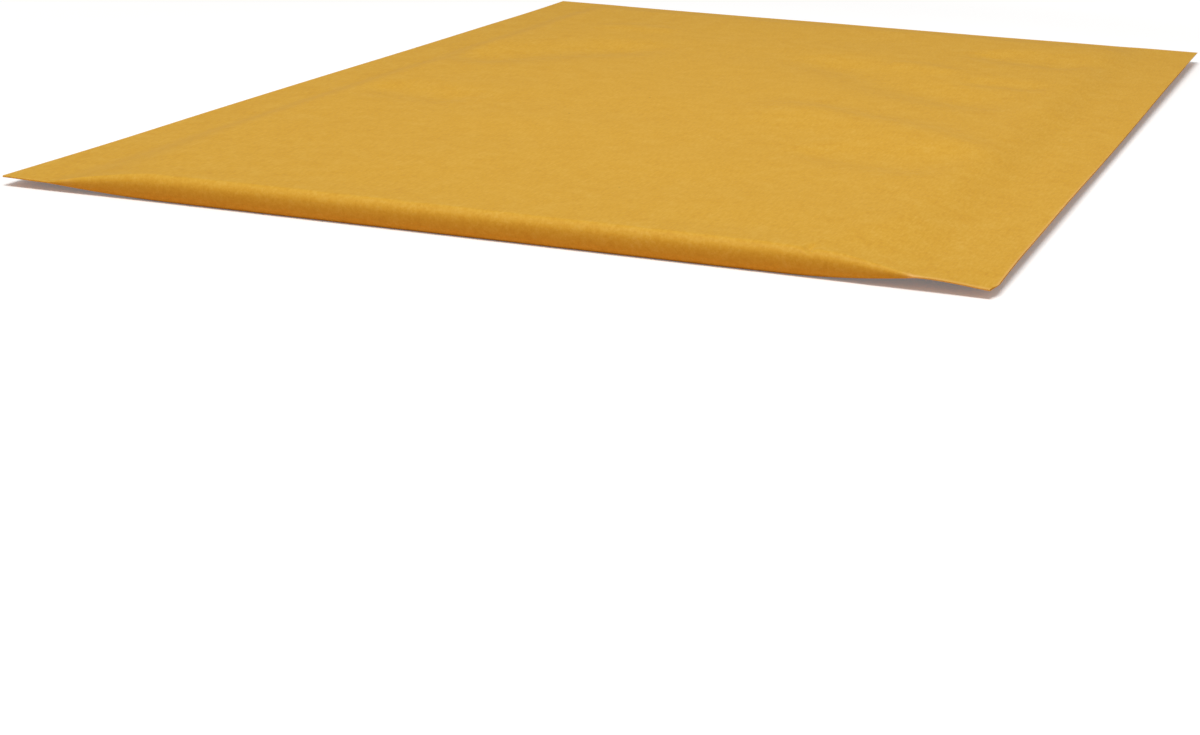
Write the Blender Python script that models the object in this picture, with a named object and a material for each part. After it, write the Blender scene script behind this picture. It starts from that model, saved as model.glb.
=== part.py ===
"""A padded kraft mailer, empty, unused and flat, lying with its address side up.

Metres, +Z up, +X across the side seals, +Y from the bottom fold to the flap's free edge. The origin
is the middle of the underside. Four pieces: one folded and glued sheet of kraft paper, one folded
sheet of bubble film inside it, and under the flap an adhesive strip with its release liner.
"""

import math

import bmesh
import bpy

# Kraft envelope
WIDTH = 0.2667
POCKET_LENGTH = 0.3684
FLAP_LENGTH = 0.038
SIDE_SEAL = 0.017
PAPER = 0.00025

# Bubble lining. A dome's shape is given by its shoulder and its flat top, as shares of radius and height.
BUBBLE_HEIGHT = 0.00275
BUBBLE_RADIUS = 0.0049
BUBBLE_SHOULDER = 0.94
BUBBLE_SHOULDER_RISE = 0.62
BUBBLE_TOP = 0.72
BUBBLE_SPACING = 0.0114
BUBBLE_ROWS = 3
BUBBLE_SIDES = 8
FILM = 0.0003
FILM_WELD = 0.003
MOUTH_TRIM = 0.0015
SLIT = 0.0004
FOLD_MARGIN = 0.004

# Closure
STRIP_WIDTH = 0.018
STRIP_THICKNESS = 0.0002
STRIP_END_INSET = 0.016
STRIP_EDGE_INSET = 0.010
LINER_WIDTH = 0.024
LINER_THICKNESS = 0.00015
LINER_END_INSET = 0.012

# Clearances between pieces that touch on the real mailer
LINING_GAP = 0.0003
STRIP_GAP = 0.0003

# How the padding swells the paper. A fullness of 1 is a sine, and less is blunter.
SHOULDER = 0.015
FULLNESS = 0.95
CORNER_PINCH = 0.032
CORNER_FULLNESS = 0.65
PINCH_REACH = 0.026
CORNER_ARCH = 0.0004
CORNER_DROOP = 0.0014
CORNER_REACH = 0.022

# Steps of the grids, closer together towards the side seals by the power CROWDING
ROLL_STEPS = 7
SHOULDER_STEPS = 5
PINCH_STEPS = 3
SEAL_STEPS = 2
FLAP_STEPS = 5
LINING_STEPS = 6
PINCH_ROWS = 6
PINCH_SPAN = 3
CROWDING = 1.5
LEAST_FACE = 0.0005
LEAST_BUBBLE = 0.0010
SINK = 0.0001
SHARP = math.radians(40)

PAD_HALF = LINING_GAP + BUBBLE_HEIGHT + FILM + SLIT / 2
MIDPLANE = PAD_HALF + PAPER
LENGTH = POCKET_LENGTH + FLAP_LENGTH
SEAL_LINE = WIDTH / 2 - SIDE_SEAL
ROW_PITCH = BUBBLE_SPACING * math.sqrt(3) / 2


def clear_scene():
    for item in list(bpy.data.objects):
        bpy.data.objects.remove(item, do_unlink=True)


def material(name, color, roughness, alpha=1.0):
    made = bpy.data.materials.new(name)
    made.use_nodes = True
    shader = made.node_tree.nodes["Principled BSDF"]
    shader.inputs["Base Color"].default_value = (*color, 1.0)
    shader.inputs["Roughness"].default_value = roughness
    shader.inputs["Metallic"].default_value = 0.0
    shader.inputs["Alpha"].default_value = alpha
    return made


def place(across, along, height):
    """A point given from the centre line, the bottom fold and the mid-plane, in the part's frame."""
    return (across, along - LENGTH / 2, MIDPLANE + height)


def pinched(along, plain, at_fold):
    """A value that is at_fold at the bottom fold and goes over to plain with distance from it."""
    return plain + (at_fold - plain) * math.exp(-along / PINCH_REACH)


def shoulder_reach(along):
    """How far in from the side seal the padding takes to reach its full height."""
    return pinched(along, SHOULDER, CORNER_PINCH)


def fullness(along):
    return pinched(along, FULLNESS, CORNER_FULLNESS)


def padding(across, along):
    """Half the height of the space between the paper's inner faces. It is nothing at the side seals."""
    inboard = SEAL_LINE - abs(across)
    if inboard <= 0:
        return 0.0
    share = min(1.0, inboard / shoulder_reach(along))
    return PAD_HALF * math.sin(math.pi / 2 * share) ** fullness(along)


def seal_lift(across, along):
    """The flat side seal arches and droops where it meets the pinched end of the bottom fold."""
    out = (abs(across) - SEAL_LINE) / SIDE_SEAL
    if out <= 0:
        return 0.0
    fade = math.exp(-along / CORNER_REACH)
    return fade * (CORNER_ARCH * 4 * out * (1 - out) - CORNER_DROOP * out * out)


def sheet_point(across, step, inset, side):
    """A point of the folded sheet's face that lies inset from the paper's inner face.

    step runs from 0 at the front of the bottom fold, by 1 at its crest, to 2 at the mouth.
    side is 1 for the address panel and -1 for the back panel.
    """
    crest = padding(across, 0) + PAPER
    if step <= 1:
        angle = step * math.pi / 2
        radius = padding(across, 0) - inset
        along = crest - radius * math.cos(angle)
        height = radius * math.sin(angle)
    else:
        along = crest + (POCKET_LENGTH - crest) * (step - 1)
        height = padding(across, along - crest) - inset
    return place(across, along, side * height + seal_lift(across, along))


def flap_point(across, past_mouth, inset):
    """A point of the flap's face. Its crown dies away from the mouth to the flat free edge."""
    along = POCKET_LENGTH + past_mouth
    share = past_mouth / FLAP_LENGTH
    crown = padding(across, POCKET_LENGTH) * (1 - share * share * (3 - 2 * share))
    return place(across, along, crown - inset + seal_lift(across, along))


def half_stations():
    """Distances out from the centre line to the cut edge, close together where the paper bends."""
    inboard = [CORNER_PINCH - (CORNER_PINCH - SHOULDER) * k / PINCH_STEPS for k in range(PINCH_STEPS)]
    inboard += [SHOULDER * (1 - k / SHOULDER_STEPS) ** CROWDING for k in range(SHOULDER_STEPS)]
    seal = [SEAL_LINE + SIDE_SEAL * k / SEAL_STEPS for k in range(SEAL_STEPS + 1)]
    return [SEAL_LINE - d for d in inboard] + seal


def paper_columns():
    half = half_stations()
    return [-x for x in reversed(half)] + half


def pocket_steps():
    """Steps along the fold and the panels, in the terms of sheet_point."""
    roll = [k / ROLL_STEPS for k in range(ROLL_STEPS + 1)]
    pinch_end = PINCH_SPAN * PINCH_REACH / POCKET_LENGTH
    panel = [1 + pinch_end * (k + 1) / PINCH_ROWS for k in range(PINCH_ROWS)]
    return roll + panel + [2.0]


def flap_rows():
    """Distances past the mouth of the rows across the flap."""
    return [FLAP_LENGTH * k / FLAP_STEPS for k in range(FLAP_STEPS + 1)]


def add_row(mesh, points):
    return [mesh.verts.new(point) for point in points]


def bridge(mesh, first, second):
    """Faces between two rows of corners. Corners that the rows share make triangles, or no face."""
    for k in range(len(first) - 1):
        corners = [first[k], first[k + 1], second[k + 1], second[k]]
        corners = [v for i, v in enumerate(corners) if v not in corners[:i]]
        if len(corners) > 2:
            mesh.faces.new(corners)


def finish_object(name, mesh, surface):
    bmesh.ops.recalc_face_normals(mesh, faces=mesh.faces)
    data = bpy.data.meshes.new(name)
    mesh.to_mesh(data)
    mesh.free()
    made = bpy.data.objects.new(name, data)
    bpy.context.scene.collection.objects.link(made)
    data.materials.append(surface)
    data.shade_smooth()
    data.set_sharp_from_angle(angle=SHARP)
    return made


def kraft_envelope(surface):
    """One sheet: back panel, bottom fold, address panel and flap, its sides glued flat into seals."""
    mesh = bmesh.new()
    columns = paper_columns()
    first = SEAL_STEPS
    last = len(columns) - 1 - SEAL_STEPS
    inner = columns[first : last + 1]
    steps = pocket_steps()

    front = add_row(mesh, [sheet_point(x, 0, -PAPER, 1) for x in columns])
    top = [front]
    back = [front]
    for step in steps[1:]:
        top.append(add_row(mesh, [sheet_point(x, step, -PAPER, 1) for x in columns]))
        back.append(add_row(mesh, [sheet_point(x, step, -PAPER, -1) for x in columns]))

    inside_front = add_row(mesh, [sheet_point(x, 0, 0, 1) for x in inner])
    inside_top = [inside_front]
    inside_back = [inside_front]
    for step in steps[1:]:
        upper = add_row(mesh, [sheet_point(x, step, 0, 1) for x in inner])
        middle = [sheet_point(x, step, 0, -1) for x in inner[1:-1]]
        inside_top.append(upper)
        inside_back.append([upper[0]] + add_row(mesh, middle) + [upper[-1]])

    for rows in (top, back, inside_top, inside_back):
        for near, far in zip(rows, rows[1:]):
            bridge(mesh, near, far)

    mouth = inside_top[-1]
    seal_left = add_row(mesh, [sheet_point(x, 2, 0, 1) for x in columns[:first]])
    seal_right = add_row(mesh, [sheet_point(x, 2, 0, 1) for x in columns[last + 1 :]])
    mid_row = seal_left + mouth + seal_right
    lip = seal_left + inside_back[-1] + seal_right
    bridge(mesh, back[-1], lip)

    flap_top = [top[-1]]
    flap_under = [mid_row]
    for past_mouth in flap_rows()[1:]:
        flap_top.append(add_row(mesh, [flap_point(x, past_mouth, -PAPER) for x in columns]))
        flap_under.append(add_row(mesh, [flap_point(x, past_mouth, 0) for x in columns]))
    for rows in (flap_top, flap_under):
        for near, far in zip(rows, rows[1:]):
            bridge(mesh, near, far)
    bridge(mesh, flap_top[-1], flap_under[-1])

    for end in (0, -1):
        for near in range(len(steps) - 2):
            far = near + 1
            corners = [top[near][end], top[far][end], back[far][end], back[near][end]]
            mesh.faces.new(corners[: 3 if near == 0 else 4])
        corners = [top[-2][end], top[-1][end], mid_row[end], back[-1][end], back[-2][end]]
        mesh.faces.new(corners)
        flap_edges = zip(zip(flap_top, flap_under), zip(flap_top[1:], flap_under[1:]))
        for (upper, lower), (next_upper, next_lower) in flap_edges:
            mesh.faces.new([upper[end], next_upper[end], next_lower[end], lower[end]])
    return finish_object("kraft_envelope", mesh, surface)


def lining_edge(along):
    """How far in from the side seal the lining's welded edge lies."""
    thin = (LINING_GAP + FILM + SLIT / 2) / PAD_HALF
    rise = min(1.0, thin) ** (1 / fullness(along))
    return shoulder_reach(along) * 2 / math.pi * math.asin(rise)


def lining_columns(along):
    edge = lining_edge(along)
    shares = [(k / LINING_STEPS) ** CROWDING for k in range(LINING_STEPS + 1)]
    half = [SEAL_LINE - edge - (CORNER_PINCH - edge) * share for share in reversed(shares)]
    return [-x for x in reversed(half)] + half


def along_of(step):
    return max(0.0, (step - 1) * POCKET_LENGTH)


def padded_body(end_step):
    """The closed outer form of the film's two panels and the fold between them."""
    mesh = bmesh.new()
    last = end_step - LEAST_FACE / POCKET_LENGTH
    steps = [step for step in pocket_steps() if step < last] + [end_step]
    top = []
    back = []
    for step in steps:
        columns = lining_columns(along_of(step))
        top.append(add_row(mesh, [sheet_point(x, step, LINING_GAP, 1) for x in columns]))
        if step == 0:
            back.append(top[0])
            continue
        back.append(add_row(mesh, [sheet_point(x, step, LINING_GAP, -1) for x in columns]))
    for rows in (top, back):
        for near, far in zip(rows, rows[1:]):
            bridge(mesh, near, far)
    for end in (0, -1):
        bridge(mesh, [row[end] for row in top], [row[end] for row in back])
    bridge(mesh, top[-1], back[-1])
    bmesh.ops.recalc_face_normals(mesh, faces=mesh.faces)
    return mesh


def add_block(mesh, low, high):
    """A closed block between two corners, in the terms of place."""
    corners = bmesh.ops.create_cube(mesh, size=1.0)["verts"]
    for corner in corners:
        pick = [high[k] if corner.co[k] > 0 else low[k] for k in range(3)]
        corner.co = place(*pick)


def add_bubble(mesh, across, along, side, height):
    """One flattened dome, its foot sunk into the film."""
    foot = FILM + SLIT / 2 - SINK
    outline = ((1.0, 0.0), (BUBBLE_SHOULDER, BUBBLE_SHOULDER_RISE), (BUBBLE_TOP, 1.0))
    rings = []
    for radius, rise in outline:
        level = side * (foot + (height + SINK) * rise)
        ring = []
        for k in range(BUBBLE_SIDES):
            angle = 2 * math.pi * (k + 0.5) / BUBBLE_SIDES
            out = radius * BUBBLE_RADIUS
            x = across + out * math.cos(angle)
            ring.append(mesh.verts.new(place(x, along + out * math.sin(angle), level)))
        rings.append(ring)
    for lower, upper in zip(rings, rings[1:]):
        bridge(mesh, lower + lower[:1], upper + upper[:1])
    mesh.faces.new(rings[0])
    mesh.faces.new(rings[-1])


def helper_object(name, mesh):
    bmesh.ops.recalc_face_normals(mesh, faces=mesh.faces)
    data = bpy.data.meshes.new(name)
    mesh.to_mesh(data)
    mesh.free()
    made = bpy.data.objects.new(name, data)
    bpy.context.scene.collection.objects.link(made)
    made.hide_render = True
    made.display_type = "WIRE"
    return made


def boolean(target, operation, other):
    modifier = target.modifiers.new(other.name, "BOOLEAN")
    modifier.operation = operation
    modifier.solver = "EXACT"
    modifier.object = other


def mouth_bubbles():
    """The rows of bubbles that the open mouth shows, on both panels."""
    mesh = bmesh.new()
    count = int((SEAL_LINE - BUBBLE_RADIUS) / BUBBLE_SPACING) + 1
    for row in range(BUBBLE_ROWS):
        along = POCKET_LENGTH - MOUTH_TRIM - BUBBLE_RADIUS - SINK - row * ROW_PITCH
        stagger = BUBBLE_SPACING / 2 * (row % 2)
        for k in range(-count, count + 1):
            across = k * BUBBLE_SPACING + stagger
            rim = abs(across) + BUBBLE_RADIUS
            height = padding(rim, along) - LINING_GAP - FILM - SLIT / 2
            if height < LEAST_BUBBLE:
                continue
            for side in (1, -1):
                add_bubble(mesh, across, along, side, height)
    return helper_object("mouth_bubbles", mesh)


def bubble_lining(surface):
    """One sheet of bubble film folded in the bottom of the pocket and welded along its sides.

    The domes face the paper. Behind the rows at the mouth they stand side by side, so that part is
    one padded body of their height.
    """
    zone = MOUTH_TRIM + BUBBLE_RADIUS + ROW_PITCH * (BUBBLE_ROWS - 1) + BUBBLE_SPACING / 2
    zone_start = POCKET_LENGTH - zone
    end_step = 1 + zone_start / POCKET_LENGTH
    made = finish_object("bubble_lining", padded_body(end_step), surface)

    film = bmesh.new()
    film_half = FILM + SLIT / 2
    edge = SEAL_LINE - lining_edge(zone_start) - FILM
    mouth = POCKET_LENGTH - MOUTH_TRIM
    add_block(film, (-edge, zone_start - FILM_WELD, -film_half), (edge, mouth, film_half))
    boolean(made, "UNION", helper_object("mouth_film", film))
    boolean(made, "UNION", mouth_bubbles())

    slit = bmesh.new()
    side = SEAL_LINE - lining_edge(0) - FILM_WELD
    start = MIDPLANE + FOLD_MARGIN
    past = POCKET_LENGTH + FILM_WELD
    add_block(slit, (-side, start, -SLIT / 2), (side, past, SLIT / 2))
    boolean(made, "DIFFERENCE", helper_object("pocket_slit", slit))
    return made


def flap_band(name, surface, end_inset, near, far, depth, thickness):
    """A strip that follows the flap's inner face at a depth below it, near to far past the mouth."""
    mesh = bmesh.new()
    limit = WIDTH / 2 - end_inset
    columns = [-limit] + [x for x in paper_columns() if abs(x) < limit - LEAST_FACE] + [limit]
    rows = [near] + [row for row in flap_rows() if near + LEAST_FACE < row < far - LEAST_FACE] + [far]
    loops = []
    for row in rows:
        upper = add_row(mesh, [flap_point(x, row, depth) for x in columns])
        lower = add_row(mesh, [flap_point(x, row, depth + thickness) for x in columns])
        loops.append((upper, lower))
    for (upper, lower), (next_upper, next_lower) in zip(loops, loops[1:]):
        bridge(mesh, upper, next_upper)
        bridge(mesh, lower, next_lower)
        for end in (0, -1):
            mesh.faces.new([upper[end], next_upper[end], next_lower[end], lower[end]])
    for upper, lower in (loops[0], loops[-1]):
        bridge(mesh, upper, lower)
    return finish_object(name, mesh, surface)


def adhesive_strip(surface):
    far = FLAP_LENGTH - STRIP_EDGE_INSET
    return flap_band(
        "adhesive_strip", surface, STRIP_END_INSET, far - STRIP_WIDTH, far, STRIP_GAP, STRIP_THICKNESS
    )


def release_liner(surface):
    """Wider and longer than the adhesive, so that an end can be picked up."""
    middle = FLAP_LENGTH - STRIP_EDGE_INSET - STRIP_WIDTH / 2
    half = LINER_WIDTH / 2
    depth = 2 * STRIP_GAP + STRIP_THICKNESS
    return flap_band(
        "release_liner", surface, LINER_END_INSET, middle - half, middle + half, depth, LINER_THICKNESS
    )


def main():
    clear_scene()
    kraft_envelope(material("golden kraft paper", (0.68, 0.38, 0.06), 0.72))
    bubble_lining(material("clear bubble film", (0.82, 0.85, 0.87), 0.22, 0.55))
    adhesive_strip(material("hot melt adhesive", (0.80, 0.74, 0.52), 0.30))
    release_liner(material("translucent release liner", (0.86, 0.87, 0.86), 0.38))


main()
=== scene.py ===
import math

import bmesh
import bpy
import numpy as np
from mathutils import Matrix, Vector


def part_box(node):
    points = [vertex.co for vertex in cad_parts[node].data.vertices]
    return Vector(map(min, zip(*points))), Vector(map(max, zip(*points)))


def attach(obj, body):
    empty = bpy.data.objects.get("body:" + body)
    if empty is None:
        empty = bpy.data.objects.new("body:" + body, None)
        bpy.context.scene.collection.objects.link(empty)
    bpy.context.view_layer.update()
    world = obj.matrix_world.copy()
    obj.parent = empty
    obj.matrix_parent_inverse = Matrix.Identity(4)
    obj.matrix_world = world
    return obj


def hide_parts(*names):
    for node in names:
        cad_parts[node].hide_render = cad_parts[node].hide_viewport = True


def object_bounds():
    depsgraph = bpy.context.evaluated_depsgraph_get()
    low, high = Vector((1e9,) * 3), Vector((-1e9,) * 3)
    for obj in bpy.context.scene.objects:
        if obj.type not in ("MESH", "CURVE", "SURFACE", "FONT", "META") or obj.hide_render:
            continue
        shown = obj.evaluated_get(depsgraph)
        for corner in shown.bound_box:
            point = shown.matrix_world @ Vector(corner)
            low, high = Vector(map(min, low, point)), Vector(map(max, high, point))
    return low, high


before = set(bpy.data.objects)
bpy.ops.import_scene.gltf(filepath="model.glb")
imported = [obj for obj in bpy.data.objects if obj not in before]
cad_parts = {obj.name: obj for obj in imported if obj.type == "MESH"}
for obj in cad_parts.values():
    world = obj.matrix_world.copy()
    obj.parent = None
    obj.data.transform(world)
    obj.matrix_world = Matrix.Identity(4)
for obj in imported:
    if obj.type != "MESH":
        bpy.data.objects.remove(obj)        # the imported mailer, lying flat with its address side up
cadLow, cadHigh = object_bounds()
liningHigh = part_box("bubble_lining")[1]
print("frame loaded:", sorted(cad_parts))

mm = 0.001

# What every piece is measured from
mailer = {
    "width": cadHigh.x - cadLow.x,
    "length": cadHigh.y - cadLow.y,
    "height": cadHigh.z,
    "mouthTrim": 1.5 * mm,     # the lining stops this far inside the mouth
    "leftSeal": 14.5 * mm,     # the glued side seals; the lining sits a little to the left
    "rightSeal": 19.5 * mm,
    "paper": 0.22 * mm,
    "sealPly": 0.25 * mm,      # half of the two glued plies, with the glue between them
}
mailer["front"] = cadLow.y
mailer["mouth"] = liningHigh.y + mailer["mouthTrim"] - cadLow.y
mailer["flap"] = mailer["length"] - mailer["mouth"]
mailer["middle"] = mailer["height"] / 2
mailer["leftLine"] = mailer["width"] / 2 - mailer["leftSeal"]
mailer["rightLine"] = mailer["width"] / 2 - mailer["rightSeal"]
mailer["padHalf"] = mailer["middle"] - mailer["sealPly"]


def linearColor(hexCode, alpha=1.0):
    parts = [int(hexCode[i : i + 2], 16) / 255 for i in (1, 3, 5)]
    return tuple(c / 12.92 if c <= 0.04045 else ((c + 0.055) / 1.055) ** 2.4 for c in parts) + (alpha,)


def addNode(tree, kind, settings=None, values=None, links=None):
    node = tree.nodes.new(kind)
    for name, value in (settings or {}).items():
        setattr(node, name, value)
    for socket, value in (values or {}).items():
        node.inputs[socket].default_value = value
    for socket, source in (links or {}).items():
        tree.links.new(source, node.inputs[socket])
    return node


def newMaterial(name):
    material = bpy.data.materials.new(name)
    material.use_nodes = True
    tree = material.node_tree
    tree.nodes.clear()
    output = tree.nodes.new("ShaderNodeOutputMaterial")
    shader = tree.nodes.new("ShaderNodeBsdfPrincipled")
    tree.links.new(shader.outputs["BSDF"], output.inputs["Surface"])
    return material, tree, shader


# Kraft paper, machine-glazed and dyed golden: even at a step away, with fine fibre mottling, a few dark
# specks and a faint sheen at a grazing angle
kraft = {
    "color": "#D8A434",
    "paleColor": "#E0B24E",
    "deepColor": "#CC9328",
    "toneSpan": (0.28, 0.72),   # the noise values that give the deep and the pale colour
    "speckColor": "#8A5A1A",
    "rubAndHighlightColor": "#EEBA6C",     # rubbed folds and cut edges, also a painted highlight along them
    "roughSpan": (0.55, 0.66),
    "noiseSpan": (0.3, 0.7),    # where most of a noise's values lie
    "ior": 1.45,
    "specular": 0.2,
    "cloud": 7 * mm,            # size of a cloud in the formation
    "cloudShare": 0.2,
    "mottle": 1.1 * mm,
    "fibreWidth": 0.45 * mm,    # real fibres are finer, drawn this coarse so that they show
    "fibreLength": 3.5 * mm,
    "fibreShare": 0.4,
    "speckPitch": 24 * mm,
    "speckCore": 0.24 * mm,
    "speckRim": 0.432 * mm,
    "speckDepth": 0.6,
    "relief": 0.03 * mm,
    "reliefStrength": 0.5,
}


def kraftPaper():
    material, tree, shader = newMaterial("golden kraft paper")
    place = addNode(tree, "ShaderNodeTexCoord").outputs["Object"]
    clouds = {"Scale": 1 / kraft["cloud"], "Detail": 2.0}
    cloud = addNode(tree, "ShaderNodeTexNoise", {}, clouds, {"Vector": place})
    mottling = {"Scale": 1 / kraft["mottle"], "Detail": 3.0, "Roughness": 0.6}
    mottle = addNode(tree, "ShaderNodeTexNoise", {}, mottling, {"Vector": place})
    fineness = (1 / kraft["fibreWidth"], 1 / kraft["fibreLength"], 1 / kraft["fibreWidth"])
    stretched = addNode(tree, "ShaderNodeMapping", {}, {"Scale": fineness}, {"Vector": place})
    fibres = {"Scale": 1.0, "Detail": 2.0, "Distortion": 0.5}
    fibre = addNode(tree, "ShaderNodeTexNoise", {}, fibres, {"Vector": stretched.outputs["Vector"]})

    # the tone of the sheet, from mottling, fibres and clouds
    number = {"data_type": "FLOAT"}
    grains = {2: mottle.outputs["Fac"], 3: fibre.outputs["Fac"]}
    grain = addNode(tree, "ShaderNodeMix", number, {0: kraft["fibreShare"]}, grains)
    tones = {2: grain.outputs[0], 3: cloud.outputs["Fac"]}
    tone = addNode(tree, "ShaderNodeMix", number, {0: kraft["cloudShare"]}, tones)
    shades = addNode(tree, "ShaderNodeValToRGB", {}, {}, {"Fac": tone.outputs[0]})
    ramp = shades.color_ramp
    deepAt, paleAt = kraft["toneSpan"]
    ramp.elements[0].position = deepAt
    ramp.elements[0].color = linearColor(kraft["deepColor"])
    ramp.elements[1].position = paleAt
    ramp.elements[1].color = linearColor(kraft["paleColor"])
    middle = ramp.elements.new((deepAt + paleAt) / 2)
    middle.color = linearColor(kraft["color"])

    # a few specks
    color = {"data_type": "RGBA"}
    cells = {"Scale": 1 / kraft["speckPitch"], "Randomness": 1.0}
    seeds = addNode(tree, "ShaderNodeTexVoronoi", {"feature": "F1"}, cells, {"Vector": place})
    rims = {
        "From Min": kraft["speckRim"] / kraft["speckPitch"],
        "From Max": kraft["speckCore"] / kraft["speckPitch"],
        "To Min": 0.0,
        "To Max": kraft["speckDepth"],
    }
    specks = addNode(tree, "ShaderNodeMapRange", {}, rims, {"Value": seeds.outputs["Distance"]})
    spots = {0: specks.outputs["Result"], 6: shades.outputs["Color"]}
    spotted = addNode(tree, "ShaderNodeMix", color, {7: linearColor(kraft["speckColor"])}, spots)

    # pale where it is rubbed, and a painted highlight along the folded and cut edges
    wearAndHighlight = addNode(tree, "ShaderNodeAttribute", {"attribute_name": "edgeWearAndHighlight"})
    rubsAndHighlights = {0: wearAndHighlight.outputs["Fac"], 6: spotted.outputs[2]}
    wornAndLit = addNode(tree, "ShaderNodeMix", color, {7: linearColor(kraft["rubAndHighlightColor"])}, rubsAndHighlights)
    tree.links.new(wornAndLit.outputs[2], shader.inputs["Base Color"])

    glosses = {
        "From Min": kraft["noiseSpan"][0],
        "From Max": kraft["noiseSpan"][1],
        "To Min": kraft["roughSpan"][0],
        "To Max": kraft["roughSpan"][1],
    }
    gloss = addNode(tree, "ShaderNodeMapRange", {}, glosses, {"Value": mottle.outputs["Fac"]})
    tree.links.new(gloss.outputs["Result"], shader.inputs["Roughness"])
    shader.inputs["IOR"].default_value = kraft["ior"]
    shader.inputs["Specular IOR Level"].default_value = kraft["specular"]

    both = {0: mottle.outputs["Fac"], 1: fibre.outputs["Fac"]}
    heights = addNode(tree, "ShaderNodeMath", {"operation": "ADD"}, {}, both)
    relief = {"Strength": kraft["reliefStrength"], "Distance": kraft["relief"]}
    bump = addNode(tree, "ShaderNodeBump", {}, relief, {"Height": heights.outputs[0]})
    tree.links.new(bump.outputs["Normal"], shader.inputs["Normal"])
    return material


# The folded paper. Lengths across run from the centre line, lengths along run from the bottom fold.
sheetForm = {
    "columnPitch": 1.4 * mm,
    "rowPitch": 1.4 * mm,
    "backPitch": 6 * mm,
    "rollRows": 22,
    "coarse": 4,               # the inner skin has a corner for every fourth one outside
    "fineRows": (4, 3),        # but for every one round the roll, and this many rows before and after it
    "shoulder": 17 * mm,       # along the side seals the padding rises over this width
    "pinch": 32 * mm,          # at the bottom fold it takes this much
    "pinchReach": 26 * mm,
    "fullFront": 0.65,         # how blunt the swelling is at the fold: 1 is a sine, less is fuller
    "endLoss": {-1: 0.6, 1: 0.5},              # the roll thins by this share towards its two ends
    "endReach": {-1: 14 * mm, 1: 11 * mm},
    "rightDrift": 4 * mm,      # the right seal line runs out this much away from the fold
    "rollDepth": 0.68,         # depth of the roll for its half thickness
    "noseRise": 1.2 * mm,      # the roll's foremost line lies this much above its middle
    "fullAbove": 2.0,          # superellipse powers of the roll above and below that line: 2 is round
    "fullBelow": 1.8,
    "cornerInset": 1.1 * mm,   # the right edge pulls in this much at the bottom fold
    "cornerLength": 5 * mm,
    "cornerReach": 8 * mm,
    "reliefRim": 9 * mm,       # folds and waves fade out over this towards the seals
    "crestRim": 12 * mm,       # and so does the bottom fold's unevenness
    "reliefStart": 14 * mm,    # and the folds towards the roll
    "flapCalm": 0.6,           # they lose this share by the flap's free edge
    "flapEase": 1.0,           # the padding's crown is gone at the flap's free edge
    "foldWearAndHighlight": 0.4,           # how rubbed the seals' folded edge is, with its painted highlight, beside the pinch at the roll's end
    "foldRubAndHighlight": 0.8 * mm,
    "pinchRubAndHighlight": 1.5 * mm,
    "freeRubAndHighlight": 0.7 * mm,       # the flap's free edge is rubbed, with a painted highlight, this far in
    "sealRim": 2 * mm,
    "rim": 0.4 * mm,           # the cut side edges are rubbed, with a painted highlight, this far in
    "rimColumns": (0.6, 1.1, 1.8),             # the mesh has columns this many rims from them
    "cutWearAndHighlight": 0.7,            # most so before cutWearFrom
    "cutWearFrom": 110 * mm,
    "cutWearFade": 110 * mm,
    "cutWearLeast": 0.15,
    "leftWearAndHighlight": 0.3,           # the left edge has less wear and less painted highlight than the right one
}

# Heights of the flat seals above the table, as pairs along and height in millimetres: at the cut edge, and
# where the padding starts
sealEdge = {
    -1: [(0, 2.65), (50, 2.6), (110, 2.95), (180, 3.15), (250, 3.2), (330, 3.45), (370, 3.55), (406, 3.9)],
    1: [
        (0, 2.35),
        (20, 3.0),
        (60, 3.3),
        (100, 3.5),
        (150, 3.3),
        (200, 3.3),
        (250, 3.6),
        (300, 4.0),
        (350, 4.15),
        (406, 4.0),
    ],
}
sealInner = {
    -1: [(0, 2.4), (50, 3.1), (120, 3.5), (250, 3.6), (406, 3.9)],
    1: [(0, 3.4), (60, 3.6), (150, 3.6), (250, 3.7), (406, 4.0)],
}
sealArch = {-1: 0.0, 1: 0.25 * mm}     # how far the seal bows up between the two at the bottom fold
sealArchReach = 22 * mm

# Soft folds in the address panel, points across and along in millimetres.
# rise is the height of a ridge, or less than nothing for a valley. wide is the half width on its left and on
# its right, walking along it.
softFolds = [
    {
        "line": [(2, 297), (15, 283), (35, 265), (50, 248), (75, 229), (98, 211)],
        "rise": -1.8,
        "wide": (17, 16),
    },
    {
        "line": [(18, 193), (32, 184), (50, 172), (66, 165), (80, 156), (92, 145), (106, 127)],
        "rise": 1.7,
        "wide": (12, 20),
    },
    {"line": [(48, 121), (62, 115), (80, 111), (100, 105)], "rise": -1.0, "wide": (22, 11)},
    {"line": [(58, 340), (72, 330), (88, 326), (104, 316)], "rise": -1.4, "wide": (19, 12)},
    {
        "line": [(-106, 214), (-94, 231), (-85, 245), (-73, 260), (-61, 272), (-43, 291)],
        "rise": -1.7,
        "wide": (16, 15),
    },
    {"line": [(-104, 155), (-84, 151), (-60, 148)], "rise": -1.1, "wide": (14, 12)},
    {"line": [(-88, 318), (-72, 325), (-52, 322)], "rise": 0.6, "wide": (9, 9)},
    {"line": [(68, 266), (84, 267), (100, 263)], "rise": -0.9, "wide": (10, 8)},
    {"line": [(34, 294), (50, 289), (66, 281)], "rise": 0.7, "wide": (8, 9)},
]
foldShape = {
    "reach": 3,                # a fold is felt this many half widths away
    "endWidth": 0.7,           # its width at its ends, for its width midway
    "endRise": 0.1,            # its rise there
    "fadeShare": 0.25,         # it rises to the full over this share of its length
}
undulation = {"seed": 7, "waves": 14, "shortest": 42 * mm, "longest": 130 * mm, "height": 0.14 * mm}
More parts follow.
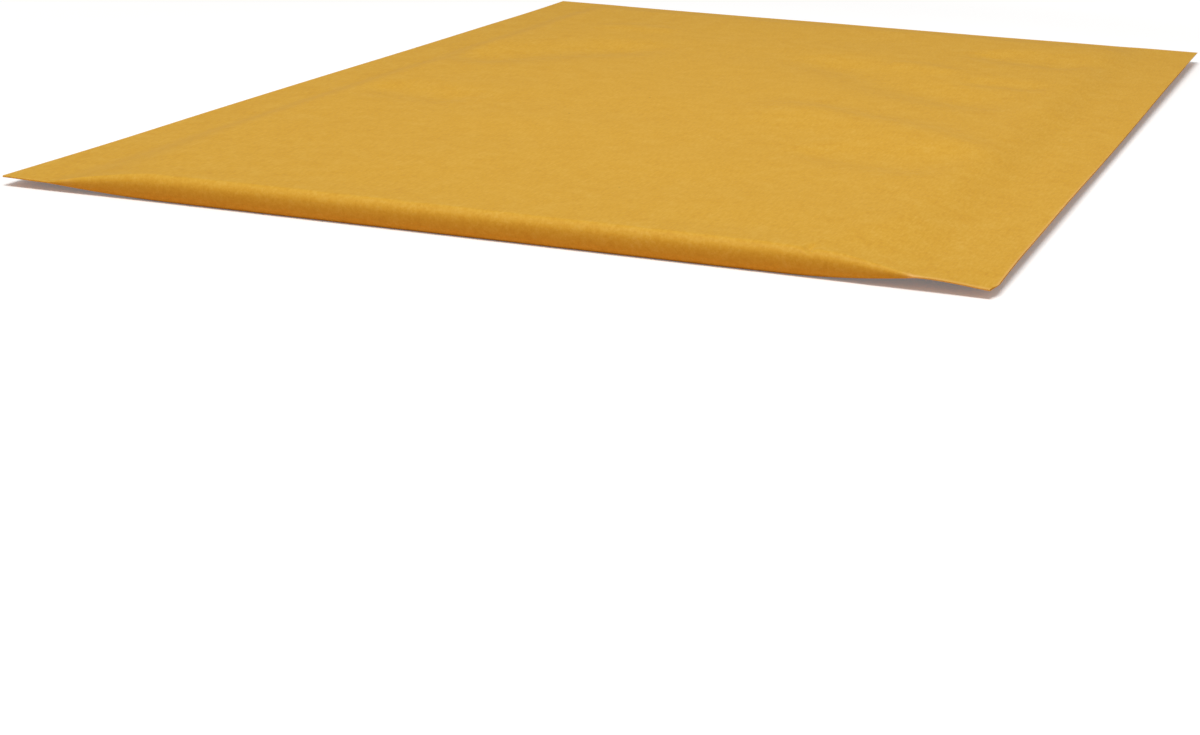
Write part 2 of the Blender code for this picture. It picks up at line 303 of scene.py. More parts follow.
# Small unevenness of the bottom fold: along its crest, with one nick, and round its nose
crestWaves = {"seed": 3, "waves": 10, "shortest": 8 * mm, "longest": 40 * mm, "height": 0.06 * mm}
crestReach = 7 * mm
noseWaves = {"seed": 11, "waves": 12, "shortest": 5 * mm, "longest": 22 * mm, "height": 0.05 * mm}
crestNick = {
    "at": 88 * mm,
    "depth": 1.1 * mm,
    "width": 1.1 * mm,
    "reach": 2.4 * mm,
    "columns": (-1.1, -0.5, 0, 0.5, 1.1),      # the mesh has columns this many widths from it
}


def smoothCurve(points, at):
    # a smooth curve through pairs of along and height, both in millimetres
    stops, heights = np.array(points, float).T * mm
    slopes = np.gradient(heights, stops)
    k = np.clip(np.searchsorted(stops, at) - 1, 0, len(stops) - 2)
    gap = stops[k + 1] - stops[k]
    t = np.clip((at - stops[k]) / gap, 0, 1)
    return (
        (2 * t**3 - 3 * t**2 + 1) * heights[k]
        + (t**3 - 2 * t**2 + t) * gap * slopes[k]
        + (3 * t**2 - 2 * t**3) * heights[k + 1]
        + (t**3 - t**2) * gap * slopes[k + 1]
    )


def smoothStep(t):
    t = np.clip(t, 0, 1)
    return t * t * (3 - 2 * t)


def smoothLine(points, step=2.0):
    # a Catmull-Rom curve through the points
    points = [np.array(p, float) for p in points]
    points = [2 * points[0] - points[1]] + points + [2 * points[-1] - points[-2]]
    found = []
    for a, b, c, d in zip(points, points[1:], points[2:], points[3:]):
        count = max(2, int(np.linalg.norm(c - b) / step))
        for t in np.linspace(0, 1, count, endpoint=False):
            bend = (2 * a - 5 * b + 4 * c - d) * t**2 + (3 * b - a - 3 * c + d) * t**3
            found.append(0.5 * (2 * b + (c - a) * t + bend))
    found.append(points[-2])
    return np.array(found)


def foldHeight(x, along):
    total = np.zeros_like(x)
    px, py = x / mm, along / mm
    for fold in softFolds:
        line = smoothLine(fold["line"])
        heading = np.gradient(line, axis=0)
        reach = foldShape["reach"] * max(fold["wide"])
        near = (px > line[:, 0].min() - reach) & (px < line[:, 0].max() + reach)
        near &= (py > line[:, 1].min() - reach) & (py < line[:, 1].max() + reach)
        if not near.any():
            continue
        apart = np.stack([px[near], py[near]], 1)[:, None, :] - line[None, :, :]
        squared = (apart**2).sum(2)
        nearest = squared.argmin(1)
        way = heading[nearest]
        off = apart[np.arange(len(nearest)), nearest]
        onLeft = way[:, 0] * off[:, 1] > way[:, 1] * off[:, 0]
        wide = np.where(onLeft, *fold["wide"])
        share = nearest / (len(line) - 1)
        wide = wide * (foldShape["endWidth"] + (1 - foldShape["endWidth"]) * np.sin(math.pi * share))
        fade = smoothStep(share / foldShape["fadeShare"]) * smoothStep((1 - share) / foldShape["fadeShare"])
        fade = foldShape["endRise"] + (1 - foldShape["endRise"]) * fade
        total[near] += fold["rise"] * mm * fade * np.exp(-squared.min(1) / wide**2)
    return total


def wavesAcross(x, form):
    # gentle unevenness from side to side, none on the seals
    random = np.random.default_rng(form["seed"])
    total = np.zeros_like(x)
    for _ in range(form["waves"]):
        wave = random.uniform(form["shortest"], form["longest"])
        total += np.sin(2 * math.pi * x / wave + random.uniform(0, 2 * math.pi))
    inside = smoothStep(inboard(x, np.zeros_like(x)) / sheetForm["crestRim"])
    return inside * total / math.sqrt(form["waves"]) * form["height"]


def crestHeight(x, behind):
    # unevenness of the bottom fold's crest, fading out behind it
    nick = np.exp(-(((x - crestNick["at"]) / crestNick["width"]) ** 2) - (behind / crestNick["reach"]) ** 2)
    return wavesAcross(x, crestWaves) * np.exp(-behind / crestReach) - crestNick["depth"] * nick


def undulationHeight(x, along):
    random = np.random.default_rng(undulation["seed"])
    total = np.zeros_like(x)
    for _ in range(undulation["waves"]):
        wave = random.uniform(undulation["shortest"], undulation["longest"])
        turn = random.uniform(0, math.pi)
        phase = random.uniform(0, 2 * math.pi)
        total += np.sin(2 * math.pi * (x * math.cos(turn) + along * math.sin(turn)) / wave + phase)
    return total / math.sqrt(undulation["waves"]) * undulation["height"]


def sealLine(side, along):
    if side < 0:
        return np.full_like(along, mailer["leftLine"])
    return mailer["rightLine"] + sheetForm["rightDrift"] * smoothStep(along / (2 * sheetForm["pinchReach"]))


def inboard(x, along):
    # how far a point lies inside the nearer seal line
    return np.maximum(0.0, np.where(x < 0, sealLine(-1, along) + x, sealLine(1, along) - x))


def padding(x, along):
    nearFold = np.exp(-along / sheetForm["pinchReach"])
    reach = sheetForm["shoulder"] + (sheetForm["pinch"] - sheetForm["shoulder"]) * nearFold
    inside = inboard(x, along)
    share = np.minimum(1.0, inside / reach)
    pinched = np.sin(math.pi / 2 * share) ** sheetForm["fullFront"]
    left = 1 - sheetForm["endLoss"][-1] * np.exp(-inside / sheetForm["endReach"][-1])
    right = 1 - sheetForm["endLoss"][1] * np.exp(-inside / sheetForm["endReach"][1])
    pinched = pinched * np.where(x < 0, left, right)
    return mailer["padHalf"] * (smoothStep(share) + (pinched - smoothStep(share)) * nearFold)


def midHeight(x, along, pad):
    # height of the surface midway between both plies: on the seals as listed, level where the padding is full
    total = np.zeros_like(x)
    for side in (-1, 1):
        here = x * side > 0 if side < 0 else x >= 0
        line = sealLine(side, along)
        out = np.clip((np.abs(x) - line) / (mailer["width"] / 2 - line), 0, 1)
        inner = smoothCurve(sealInner[side], along)
        edge = smoothCurve(sealEdge[side], along)
        seal = inner + (edge - inner) * smoothStep(out)
        seal = seal + sealArch[side] * 4 * out * (1 - out) * np.exp(-along / sealArchReach)
        inside = mailer["middle"] + (inner - mailer["middle"]) * (1 - pad / mailer["padHalf"])
        total = np.where(here, np.where(np.abs(x) > line, seal, inside), total)
    return total


def panelRelief(x, along):
    inside = smoothStep(inboard(x, along) / sheetForm["reliefRim"])
    return inside * (foldHeight(x, along) + undulationHeight(x, along))


def flapCrown(x, along, pad):
    # what is left on the flap of the padding's crown and of the panel's relief
    share = (along - mailer["mouth"]) / mailer["flap"]
    level = pad * (1 - sheetForm["flapEase"] * smoothStep(share))
    return level + panelRelief(x, along) * (1 - sheetForm["flapCalm"] * share)


def sheetRow(x, part, value):
    # one row of the sheet's outer face: flap, address panel, round the bottom fold and along the back panel
    ply = mailer["sealPly"]
    crest = padding(x, np.zeros_like(x)) + ply
    depth = crest * sheetForm["rollDepth"]
    if part == "flap":
        along = np.full_like(x, mailer["mouth"] + mailer["flap"] * value)
        pad = padding(x, along)
        height = flapCrown(x, along, pad) + ply
    elif part == "address":
        along = depth + (mailer["mouth"] - depth) * value
        behind = along - depth
        pad = padding(x, behind)
        relief = panelRelief(x, along) * smoothStep(behind / sheetForm["reliefStart"])
        height = pad + ply + relief + crestHeight(x, behind)
    elif part == "roll":
        power = 2 / (sheetForm["fullAbove"] if value > 0 else sheetForm["fullBelow"])
        nose = sheetForm["noseRise"] * (crest - ply) / mailer["padHalf"]
        along = depth - depth * math.cos(value) ** power + wavesAcross(x, noseWaves) * math.cos(value)
        pad = crest - ply
        height = nose + (crest - nose if value > 0 else -crest - nose) * abs(math.sin(value)) ** power
        height = height + crestHeight(x, np.zeros_like(x)) * max(0.0, math.sin(value)) ** 3
    else:
        along = depth + (mailer["mouth"] - depth) * value
        pad = padding(x, along - depth)
        height = -(pad + ply)
    z = midHeight(x, along, pad) + height
    pulled = sheetForm["cornerInset"] * (1 - smoothStep(along / sheetForm["cornerLength"]))
    nearEdge = smoothStep(1 - (mailer["width"] / 2 - x) / sheetForm["cornerReach"])
    return np.stack([x - pulled * nearEdge, mailer["front"] + along, z], 1)


def sheetRows():
    flapCount = int(mailer["flap"] / sheetForm["rowPitch"])
    panelCount = int(mailer["mouth"] / sheetForm["rowPitch"])
    backCount = int(mailer["mouth"] / sheetForm["backPitch"])
    rows = [("flap", 1 - k / flapCount) for k in range(flapCount)]
    rows += [("address", 1 - k / panelCount) for k in range(panelCount)]
    rollCount = sheetForm["rollRows"]
    rows += [("roll", math.pi / 2 - math.pi * k / rollCount) for k in range(rollCount)]
    rows += [("back", k / backCount) for k in range(backCount + 1)]
    return rows


def coarsePicks(count, step, keep=()):
    return sorted(set(range(0, count, step)) | {count - 1} | {k for k in keep if 0 <= k < count})


def gridNormals(grid):
    byRow = np.gradient(grid, axis=0)
    byColumn = np.gradient(grid, axis=1)
    normals = np.cross(byColumn, -byRow)
    return normals / np.maximum(1e-12, np.linalg.norm(normals, axis=2, keepdims=True))


def meshFromLists(name, points, faces, material, sharpAngle=35):
    data = bpy.data.meshes.new(name)
    data.from_pydata([tuple(p) for p in points], [], faces)
    data.validate()
    piece = bpy.data.objects.new(name, data)
    bpy.context.scene.collection.objects.link(piece)
    tidy = bmesh.new()
    tidy.from_mesh(data)
    bmesh.ops.recalc_face_normals(tidy, faces=tidy.faces)
    tidy.to_mesh(data)
    tidy.free()
    data.materials.append(material)
    data.shade_smooth()
    data.set_sharp_from_angle(angle=math.radians(sharpAngle))
    return piece


def skinnedSheet(name, grid, thickness, rowPicks, columnPicks, material):
    # a closed sheet: the outer face is the grid, the inner face a coarser grid one thickness behind it
    rowCount, columnCount = grid.shape[:2]
    inner = (grid - gridNormals(grid) * thickness)[np.ix_(rowPicks, columnPicks)]
    points = np.concatenate([grid.reshape(-1, 3), inner.reshape(-1, 3)])
    base = rowCount * columnCount
    wide = len(columnPicks)

    def outside(r, c):
        return r * columnCount + c

    def inside(i, j):
        return base + i * wide + j

    faces = []
    for r in range(rowCount - 1):
        for c in range(columnCount - 1):
            faces.append((outside(r, c), outside(r, c + 1), outside(r + 1, c + 1), outside(r + 1, c)))
    for i in range(len(rowPicks) - 1):
        for j in range(wide - 1):
            faces.append((inside(i, j), inside(i + 1, j), inside(i + 1, j + 1), inside(i, j + 1)))
    for i, r in ((0, 0), (len(rowPicks) - 1, rowCount - 1)):
        for j, (c, d) in enumerate(zip(columnPicks, columnPicks[1:])):
            faces.append([outside(r, k) for k in range(c, d + 1)] + [inside(i, j + 1), inside(i, j)])
    for j, c in ((0, 0), (wide - 1, columnCount - 1)):
        for i, (r, s) in enumerate(zip(rowPicks, rowPicks[1:])):
            faces.append([outside(k, c) for k in range(r, s + 1)] + [inside(i + 1, j), inside(i, j)])
    return meshFromLists(name, points, faces, material)


def sheetWearAndHighlight(points):
    # how rubbed the paper is at each point, and where a highlight is painted on it: the cut side edges, the
    # folded edge and the flap's free edge
    across = points[:, 0]
    toCut = mailer["width"] / 2 - np.abs(across)
    toFold = points[:, 1] - mailer["front"]
    toFree = mailer["length"] - toFold
    wornAndLit = 1 - smoothStep((toFold - sheetForm["cutWearFrom"]) / sheetForm["cutWearFade"])
    wornAndLit = sheetForm["cutWearLeast"] + (1 - sheetForm["cutWearLeast"]) * wornAndLit
    cutWearAndHighlight = sheetForm["cutWearAndHighlight"] * wornAndLit * np.exp(-((toCut / sheetForm["rim"]) ** 2))
    onSeal = 1 - smoothStep(inboard(across, toFold) / sheetForm["sealRim"])
    pinch = np.exp(-((np.abs(across) - mailer["rightLine"]) / sheetForm["pinchRubAndHighlight"]) ** 2)
    foldWearAndHighlight = onSeal * sheetForm["foldWearAndHighlight"] + pinch * (1 - sheetForm["foldWearAndHighlight"])
    foldWearAndHighlight = foldWearAndHighlight * np.exp(-((toFold / sheetForm["foldRubAndHighlight"]) ** 2))
    freeWearAndHighlight = np.exp(-((toFree / sheetForm["freeRubAndHighlight"]) ** 2))
    wearAndHighlight = np.maximum(np.maximum(cutWearAndHighlight, foldWearAndHighlight), freeWearAndHighlight)
    return wearAndHighlight * np.where(across < 0, sheetForm["leftWearAndHighlight"], 1.0)


def kraftSheet(material):
    half = mailer["width"] / 2
    columnCount = int(mailer["width"] / sheetForm["columnPitch"]) // 2 * 2 + 1
    rims = half - sheetForm["rim"] * np.array(sheetForm["rimColumns"])
    nick = crestNick["at"] + crestNick["width"] * np.array(crestNick["columns"])
    x = np.sort(np.concatenate([np.linspace(-half, half, columnCount), -rims, rims, nick]))
    rows = sheetRows()
    grid = np.array([sheetRow(x, part, value) for part, value in rows])
    rolled = [k for k, (part, value) in enumerate(rows) if part == "roll"]
    before, after = sheetForm["fineRows"]
    fine = range(rolled[0] - before, rolled[-1] + after)
    rowPicks = coarsePicks(len(rows), sheetForm["coarse"], fine)
    columnPicks = coarsePicks(len(x), sheetForm["coarse"])
    piece = skinnedSheet("kraftSheet", grid, mailer["paper"], rowPicks, columnPicks, material)
    # the rubbed, pale edges together with a painted highlight along them
    wearAndHighlight = sheetWearAndHighlight(np.array([v.co for v in piece.data.vertices]))
    layer = piece.data.attributes.new("edgeWearAndHighlight", "FLOAT", "POINT")
    layer.data.foreach_set("value", wearAndHighlight.astype(np.float32))
    print("kraft sheet:", len(piece.data.polygons), "faces")
    return piece


# The bubble film, low-density polyethylene, folded in the pocket's bottom with its domes towards the paper
bubbles = {
    "pitch": 11.4 * mm,
    "radius": 4.9 * mm,
    "height": 3.2 * mm,
    "least": 0.8 * mm,         # lower domes are left out, where the padding runs out
    "flatness": 3.0,           # how flat the paper presses a dome's top
    "sink": 0.03,              # share of its height that a dome's foot reaches into the film
    "film": 0.12 * mm,
    "slit": 0.7 * mm,
    "filmShare": 0.5,          # the film's two layers stay within this share of the room between the papers
    "foldMargin": 8 * mm,
    "edgeInset": 4.5 * mm,
    "clearance": 0.12 * mm,
    "segments": 12,
    "rings": 6,
    "filmColumns": 41,
    "filmRows": 40,
    "turnRows": 8,
    "rimPoints": 8,            # the room for a dome is taken at these points round it and at its middle
    "rimShare": 0.8,
}
filmLook = {
    "color": "#F2F5F6",
    "roughness": 0.16,
    "ior": 1.51,
    "alpha": 0.45,
    "ripple": 3 * mm,
    "relief": 0.1 * mm,
    "reliefStrength": 0.3,
}


def bubbleFilm():
    # thin clear film: mostly see-through, with glossy whitish highlights
    material, tree, shader = newMaterial("clear bubble film")
    shader.inputs["Base Color"].default_value = linearColor(filmLook["color"])
    shader.inputs["Roughness"].default_value = filmLook["roughness"]
    shader.inputs["IOR"].default_value = filmLook["ior"]
    shader.inputs["Alpha"].default_value = filmLook["alpha"]
    place = addNode(tree, "ShaderNodeTexCoord").outputs["Object"]
    ripples = {"Scale": 1 / filmLook["ripple"], "Detail": 2.0}
    ripple = addNode(tree, "ShaderNodeTexNoise", {}, ripples, {"Vector": place})
    relief = {"Strength": filmLook["reliefStrength"], "Distance": filmLook["relief"]}
    bump = addNode(tree, "ShaderNodeBump", {}, relief, {"Height": ripple.outputs["Fac"]})
    tree.links.new(bump.outputs["Normal"], shader.inputs["Normal"])
    return material


def liningRoom(x, along):
    # the height where the lining's two halves part, and the room to the paper above and below it
    pad = padding(x, along)
    middle = midHeight(x, along, pad)
    room = pad + mailer["sealPly"] - mailer["paper"] - bubbles["clearance"]
    return middle, room + np.minimum(0, panelRelief(x, along)), room


def filmSheet(material):
    # one U-shaped sheet: upper panel, turn at the bottom fold, lower panel
    gap = bubbles["slit"] / 2 + bubbles["film"]
    left = bubbles["edgeInset"] - mailer["leftLine"]
    right = mailer["rightLine"] - bubbles["edgeInset"]
    x = np.linspace(left, right, bubbles["filmColumns"])
    start = mailer["middle"] + bubbles["foldMargin"]
    end = mailer["mouth"] - mailer["mouthTrim"]
    count = bubbles["filmRows"]
    runs = [(end + (start - end) * k / count, 1.0, 0.0) for k in range(count)]
    turns = np.linspace(math.pi / 2, -math.pi / 2, bubbles["turnRows"])
    runs += [(start, math.sin(t), math.cos(t)) for t in turns]
    runs += [(start + (end - start) * k / count, -1.0, 0.0) for k in range(1, count + 1)]
    rows = []
    for along, share, bulge in runs:
        at = np.full_like(x, along)
        middle, above, below = liningRoom(x, at)
        apart = np.minimum(gap, bubbles["filmShare"] * below)
        rows.append(np.stack([x, mailer["front"] + at - gap * bulge, middle + apart * share], 1))
    grid = np.array(rows)
    rowPicks, columnPicks = (list(range(count)) for count in grid.shape[:2])
    return skinnedSheet("bubbleLining", grid, bubbles["film"], rowPicks, columnPicks, material)


def bubbleSeats(side):
    # a seat for each dome of one panel, as x, along, foot height and how high it may rise there
    rowPitch = bubbles["pitch"] * math.sqrt(3) / 2
    gap = bubbles["slit"] / 2 + bubbles["film"]
    end = mailer["mouth"] - mailer["mouthTrim"] - bubbles["radius"]
    rowCount = int((end - mailer["middle"] - bubbles["foldMargin"]) / rowPitch)
    half = int(mailer["width"] / 2 / bubbles["pitch"]) + 1
    places = []
    for row in range(rowCount):
        for k in range(-half, half + 1):
            places.append(((k + 0.5 * (row % 2)) * bubbles["pitch"], end - row * rowPitch))
    places = np.array(places)
    places = places[inboard(places[:, 0], places[:, 1]) > bubbles["radius"] + bubbles["edgeInset"]]
    turns = np.linspace(0, 2 * math.pi, bubbles["rimPoints"], endpoint=False)
    rim = bubbles["rimShare"] * bubbles["radius"] * np.append(np.exp(1j * turns), 0)
    middle, above, below = liningRoom(places[:, :1] + rim.real, places[:, 1:] + rim.imag)
    foot = middle[:, -1] + side * np.minimum(gap, bubbles["filmShare"] * below[:, -1])
    room = (middle + above).min(1) - foot if side > 0 else foot - (middle - below).max(1)
    room = np.minimum(room, bubbles["height"])
    return np.column_stack([places, foot, room])[room > bubbles["least"]]


def bubbleTree():
    tree = bpy.data.node_groups.new("bubbleField", "GeometryNodeTree")
    tree.interface.new_socket("Geometry", in_out="INPUT", socket_type="NodeSocketGeometry")
    for name, value in (("Radius", bubbles["radius"]), ("Flatness", bubbles["flatness"])):
        socket = tree.interface.new_socket(name, in_out="INPUT", socket_type="NodeSocketFloat")
        socket.default_value = value
    segments = tree.interface.new_socket("Segments", in_out="INPUT", socket_type="NodeSocketInt")
    segments.default_value = bubbles["segments"]
    tree.interface.new_socket("Film", in_out="INPUT", socket_type="NodeSocketMaterial")
    tree.interface.new_socket("Geometry", in_out="OUTPUT", socket_type="NodeSocketGeometry")
    given = tree.nodes.new("NodeGroupInput").outputs
    output = tree.nodes.new("NodeGroupOutput")

    # a unit dome: a sphere pressed flat from above by the paper and cut flat just inside the film
    unit = {"Rings": bubbles["rings"], "Radius": 1.0}
    ball = addNode(tree, "GeometryNodeMeshUVSphere", {}, unit, {"Segments": given["Segments"]})
    at = addNode(tree, "GeometryNodeInputPosition").outputs[0]
    split = addNode(tree, "ShaderNodeSeparateXYZ", {}, {}, {0: at})
    minus = {"operation": "SUBTRACT"}
    fall = addNode(tree, "ShaderNodeMath", minus, {0: 1.0}, {1: split.outputs["Z"]})
    falling = {0: fall.outputs[0], 1: given["Flatness"]}
    power = addNode(tree, "ShaderNodeMath", {"operation": "POWER"}, {}, falling)
    level = addNode(tree, "ShaderNodeMath", minus, {0: 1.0}, {1: power.outputs[0]})
    most = {"operation": "MAXIMUM"}
    foot = addNode(tree, "ShaderNodeMath", most, {1: -bubbles["sink"]}, {0: level.outputs[0]})
    shape = {"X": split.outputs["X"], "Y": split.outputs["Y"], "Z": foot.outputs[0]}
    pressed = addNode(tree, "ShaderNodeCombineXYZ", {}, {}, shape)
    shaping = {"Geometry": ball.outputs["Mesh"], "Position": pressed.outputs[0]}
    dome = addNode(tree, "GeometryNodeSetPosition", {}, {}, shaping)

    # one on every seat, as high as its room allows
    number = {"data_type": "FLOAT"}
    rise = addNode(tree, "GeometryNodeInputNamedAttribute", number, {"Name": "rise"})
    sizes = {"X": given["Radius"], "Y": given["Radius"], "Z": rise.outputs[0]}
    size = addNode(tree, "ShaderNodeCombineXYZ", {}, {}, sizes)
    seating = {"Points": given["Geometry"], "Instance": dome.outputs["Geometry"], "Scale": size.outputs[0]}
    seated = addNode(tree, "GeometryNodeInstanceOnPoints", {}, {}, seating)
    real = addNode(tree, "GeometryNodeRealizeInstances", {}, {}, {"Geometry": seated.outputs["Instances"]})
    smooth = addNode(tree, "GeometryNodeSetShadeSmooth", {}, {}, {"Geometry": real.outputs["Geometry"]})
    coating = {"Geometry": smooth.outputs["Geometry"], "Material": given["Film"]}
    finished = addNode(tree, "GeometryNodeSetMaterial", {}, {}, coating)
    tree.links.new(finished.outputs["Geometry"], output.inputs["Geometry"])
    return tree


def bubbleField(material):
    tree = bubbleTree()
    inputs = {item.name: item.identifier for item in tree.interface.items_tree if item.in_out == "INPUT"}
    made = []
    for side in (1, -1):
        seats = bubbleSeats(side)
        data = bpy.data.meshes.new("seats")
        feet = [(x, mailer["front"] + along, side * foot) for x, along, foot, rise in seats]
        data.from_pydata(feet, [], [])
        rises = data.attributes.new("rise", "FLOAT", "POINT")
        rises.data.foreach_set("value", [rise for x, along, foot, rise in seats])
        holder = bpy.data.objects.new("seats", data)
        bpy.context.scene.collection.objects.link(holder)
        grown = holder.modifiers.new("field", "NODES")
        grown.node_group = tree
        grown[inputs["Film"]] = material
        graph = bpy.context.evaluated_depsgraph_get()
        field = bpy.data.meshes.new_from_object(holder.evaluated_get(graph))
        holder.modifiers.remove(grown)
        bpy.data.objects.remove(holder)
        if side < 0:
            field.transform(Matrix.Diagonal((1, 1, -1, 1)))
            field.flip_normals()
        print("bubbles:", len(seats))
        made.append(field)
    return made


def bubbleLining(material):
    lining = filmSheet(material)
    joined = bmesh.new()
    joined.from_mesh(lining.data)
    for field in bubbleField(material):
        joined.from_mesh(field)
    for face in joined.faces:
        face.material_index = 0
    joined.to_mesh(lining.data)
    joined.free()
    print("bubble lining:", len(lining.data.polygons), "faces")
    return lining


# The closure under the flap: hot-melt adhesive and its release liner
closure = {
    "stripWidth": 18 * mm,
    "stripThick": 0.12 * mm,
    "edgeInset": 10 * mm,
    "stripEnd": 16 * mm,
    "linerWidth": 24 * mm,
    "linerThick": 0.08 * mm,
    "linerEnd": 12 * mm,
    "stripGap": 0.3 * mm,
    "ripple": 0.25 * mm,       # how far the liner stands off in places
    "rippleAcross": 9 * mm,
    "rippleAlong": 7 * mm,
    "columns": 161,
    "rows": 13,
}
meltLook = {
    "deepColor": "#D8BC7C",
    "paleColor": "#E6D2A0",
    "streak": 6 * mm,
    "roughness": 0.25,
    "relief": 0.05 * mm,
    "reliefStrength": 0.4,
}
linerLook = {"deepColor": "#E9EAE8", "paleColor": "#F6F7F6", "haze": 4 * mm, "roughness": 0.33, "alpha": 0.8}


def flapFace(x, along, depth):
    pad = padding(x, along)
    z = midHeight(x, along, pad) + flapCrown(x, along, pad) + mailer["sealPly"] - mailer["paper"] - depth
    return np.stack([x, mailer["front"] + along, z], 1)


def flapBand(name, endInset, width, depth, thickness, material, ripple=0.0):
    # a thin band under the flap, this deep below its inner face
    limit = mailer["width"] / 2 - endInset
    middle = mailer["length"] - closure["edgeInset"] - closure["stripWidth"] / 2
    x = np.linspace(-limit, limit, closure["columns"])
    rows = []
    for along in np.linspace(middle - width / 2, middle + width / 2, closure["rows"]):
        row = flapFace(x, np.full_like(x, along), depth)
        wave = np.sin(x / closure["rippleAcross"]) * np.cos(along / closure["rippleAlong"])
        row[:, 2] -= ripple * (0.5 + 0.5 * wave)
        rows.append(row)
    grid = np.array(rows)
    rowPicks, columnPicks = (list(range(count)) for count in grid.shape[:2])
    return skinnedSheet(name, grid, thickness, rowPicks, columnPicks, material)


def hotMelt():
    # pressure-sensitive hot melt: pale amber, glossy and a little uneven
    material, tree, shader = newMaterial("hot melt adhesive")
    place = addNode(tree, "ShaderNodeTexCoord").outputs["Object"]
    streaks = {"Scale": 1 / meltLook["streak"], "Detail": 3.0}
    streak = addNode(tree, "ShaderNodeTexNoise", {}, streaks, {"Vector": place})
    colors = {6: linearColor(meltLook["deepColor"]), 7: linearColor(meltLook["paleColor"])}
    shade = addNode(tree, "ShaderNodeMix", {"data_type": "RGBA"}, colors, {0: streak.outputs["Fac"]})
    tree.links.new(shade.outputs[2], shader.inputs["Base Color"])
    shader.inputs["Roughness"].default_value = meltLook["roughness"]
    relief = {"Strength": meltLook["reliefStrength"], "Distance": meltLook["relief"]}
    bump = addNode(tree, "ShaderNodeBump", {}, relief, {"Height": streak.outputs["Fac"]})
    tree.links.new(bump.outputs["Normal"], shader.inputs["Normal"])
    return material


def linerFilm():
    # siliconed film: translucent and satin, a little hazy
    material, tree, shader = newMaterial("translucent release liner")
    place = addNode(tree, "ShaderNodeTexCoord").outputs["Object"]
    hazes = {"Scale": 1 / linerLook["haze"], "Detail": 2.0}
    haze = addNode(tree, "ShaderNodeTexNoise", {}, hazes, {"Vector": place})
    colors = {6: linearColor(linerLook["deepColor"]), 7: linearColor(linerLook["paleColor"])}
    shade = addNode(tree, "ShaderNodeMix", {"data_type": "RGBA"}, colors, {0: haze.outputs["Fac"]})
    tree.links.new(shade.outputs[2], shader.inputs["Base Color"])
    shader.inputs["Roughness"].default_value = linerLook["roughness"]
    shader.inputs["Alpha"].default_value = linerLook["alpha"]
    return material


# Studio: a pale floor, an even sky and one large soft lamp above and before the mailer
studio = {
    "floorSize": 8.0,
    "floorColor": "#FAF9F8",
    "floorRoughness": 0.9,
    "floorSpecular": 0.1,
    "floorGlow": 0.16,         # for the camera alone, so that the floor comes out near white
    "farGlow": 1.0,
    "farFrom": 0.28,           # the floor's glow grows between these distances, so that no dark horizon shows
    "farTo": 0.8,
    "glowColor": "#FFFFFF",
    "bounceColor": "#E8C294",  # what the floor throws back on the mailer, warm as kraft paper would
    "skyStrength": 0.3,
    "lamps": [
        {"name": "key", "at": (0.07, -0.48, 1.1), "aim": (0, 2.6, 0), "size": 0.75, "power": 16.7},
    ],
}


def makeFloor():
    half = studio["floorSize"] / 2
    data = bpy.data.meshes.new("floor")
    corners = [(-half, -half, 0), (half, -half, 0), (half, half, 0), (-half, half, 0)]
    data.from_pydata(corners, [], [(0, 1, 2, 3)])
    floor = bpy.data.objects.new("floor", data)
    bpy.context.scene.collection.objects.link(floor)
    material, tree, shader = newMaterial("matt studio floor")
    seen = addNode(tree, "ShaderNodeLightPath").outputs["Is Camera Ray"]
    colors = {6: linearColor(studio["bounceColor"]), 7: linearColor(studio["floorColor"])}
    shade = addNode(tree, "ShaderNodeMix", {"data_type": "RGBA"}, colors, {0: seen})
    tree.links.new(shade.outputs[2], shader.inputs["Base Color"])
    shader.inputs["Emission Color"].default_value = linearColor(studio["glowColor"])
    place = addNode(tree, "ShaderNodeTexCoord").outputs["Object"]
    away = addNode(tree, "ShaderNodeVectorMath", {"operation": "LENGTH"}, {}, {0: place})
    reach = {
        "From Min": studio["farFrom"],
        "From Max": studio["farTo"],
        "To Min": studio["floorGlow"],
        "To Max": studio["farGlow"],
    }
    gently = {"interpolation_type": "SMOOTHSTEP"}
    spread = addNode(tree, "ShaderNodeMapRange", gently, reach, {"Value": away.outputs["Value"]})
    glowing = {0: seen, 1: spread.outputs["Result"]}
    glow = addNode(tree, "ShaderNodeMath", {"operation": "MULTIPLY"}, {}, glowing)
    tree.links.new(glow.outputs[0], shader.inputs["Emission Strength"])
    shader.inputs["Roughness"].default_value = studio["floorRoughness"]
    shader.inputs["Specular IOR Level"].default_value = studio["floorSpecular"]
    data.materials.append(material)


def makeSky():
    world = bpy.data.worlds.new("studio sky")
    bpy.context.scene.world = world
    world.use_nodes = True
    tree = world.node_tree
    tree.nodes.clear()
    seen = addNode(tree, "ShaderNodeLightPath").outputs["Is Camera Ray"]
    levels = {2: studio["skyStrength"], 3: 1.0}
    strength = addNode(tree, "ShaderNodeMix", {"data_type": "FLOAT"}, levels, {0: seen})
    white = {"Color": (1, 1, 1, 1)}
    sky = addNode(tree, "ShaderNodeBackground", {}, white, {"Strength": strength.outputs[0]})
    output = tree.nodes.new("ShaderNodeOutputWorld")
    tree.links.new(sky.outputs[0], output.inputs["Surface"])


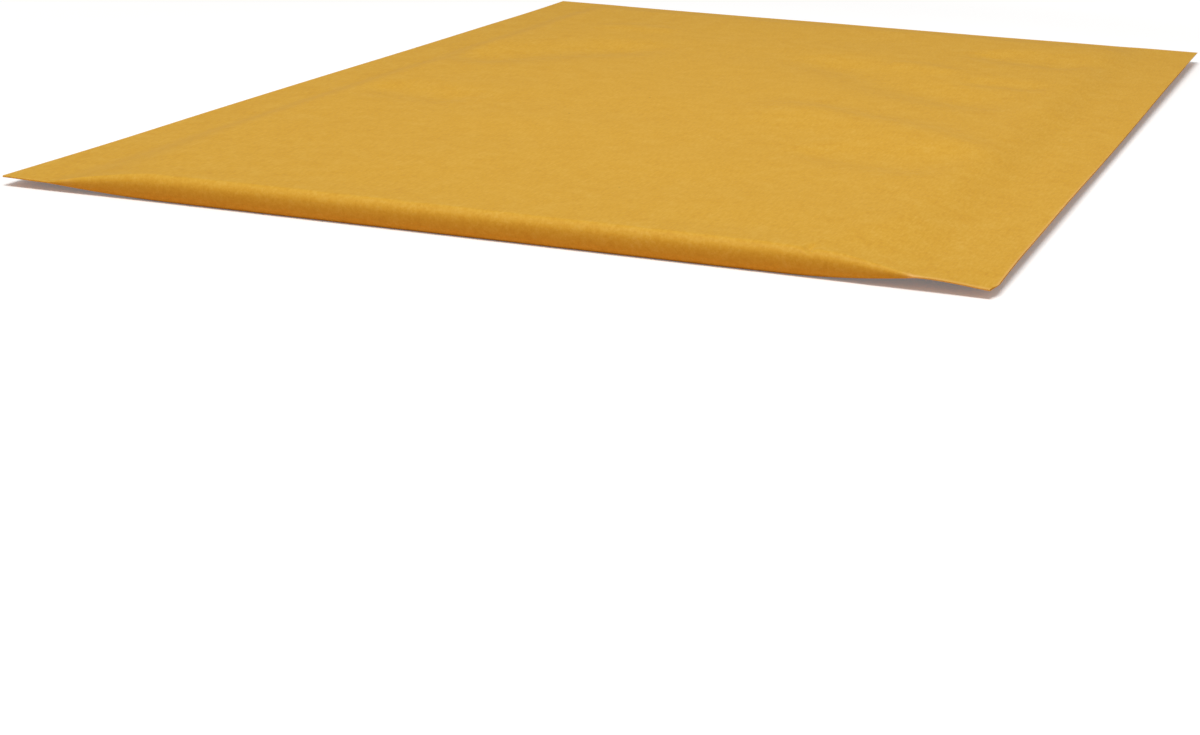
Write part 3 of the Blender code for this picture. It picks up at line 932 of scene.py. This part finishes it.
def makeLamps():
    for lamp in studio["lamps"]:
        light = bpy.data.lights.new(lamp["name"], "AREA")
        light.shape = "DISK"
        light.size = lamp["size"]
        light.energy = lamp["power"]
        holder = bpy.data.objects.new(lamp["name"], light)
        holder.location = lamp["at"]
        toward = np.array(lamp["aim"]) - np.array(lamp["at"])
        holder.rotation_euler = Vector(toward).to_track_quat("-Z", "Y").to_euler()
        bpy.context.scene.collection.objects.link(holder)


# The photograph's view: found from the corners of the mailer, whose real size is known
cameraView = {
    "at": (0.2256, -0.7188, 0.1331),
    "azimuth": 17.783,
    "elevation": 16.324,
    "roll": 2.218,
    "lens": 69.335,
    "shiftX": -0.0755,
    "near": 0.01,
    "far": 50,
}


def makeCamera():
    azimuth, elevation, roll = (math.radians(cameraView[k]) for k in ("azimuth", "elevation", "roll"))
    level = math.cos(elevation)
    back = Vector((math.sin(azimuth) * level, -math.cos(azimuth) * level, math.sin(elevation)))
    right = Vector((0, 0, 1)).cross(back).normalized()
    up = back.cross(right)
    turnedRight = right * math.cos(roll) + up * math.sin(roll)
    turnedUp = up * math.cos(roll) - right * math.sin(roll)
    axes = Matrix((turnedRight, turnedUp, back)).transposed().to_4x4()
    data = bpy.data.cameras.new("photo view")
    data.lens = cameraView["lens"]
    data.shift_x = cameraView["shiftX"]
    data.clip_start = cameraView["near"]
    data.clip_end = cameraView["far"]
    camera = bpy.data.objects.new("photo view", data)
    camera.matrix_world = Matrix.Translation(cameraView["at"]) @ axes
    bpy.context.scene.collection.objects.link(camera)
    bpy.context.scene.camera = camera


makeFloor()
makeSky()
makeLamps()
makeCamera()
bpy.context.scene.view_settings.view_transform = "Standard"
print("studio ready")

sheet = kraftSheet(kraftPaper())
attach(sheet, "root")
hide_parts("kraft_envelope")

lining = bubbleLining(bubbleFilm())
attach(lining, "root")
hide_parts("bubble_lining")

strip = flapBand(
    "hotMeltStrip",
    closure["stripEnd"],
    closure["stripWidth"],
    closure["stripGap"],
    closure["stripThick"],
    hotMelt(),
)
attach(strip, "root")
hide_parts("adhesive_strip")

liner = flapBand(
    "releaseLiner",
    closure["linerEnd"],
    closure["linerWidth"],
    2 * closure["stripGap"] + closure["stripThick"],
    closure["linerThick"],
    linerFilm(),
    closure["ripple"],
)
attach(liner, "root")
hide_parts("release_liner")
print("closure ready")
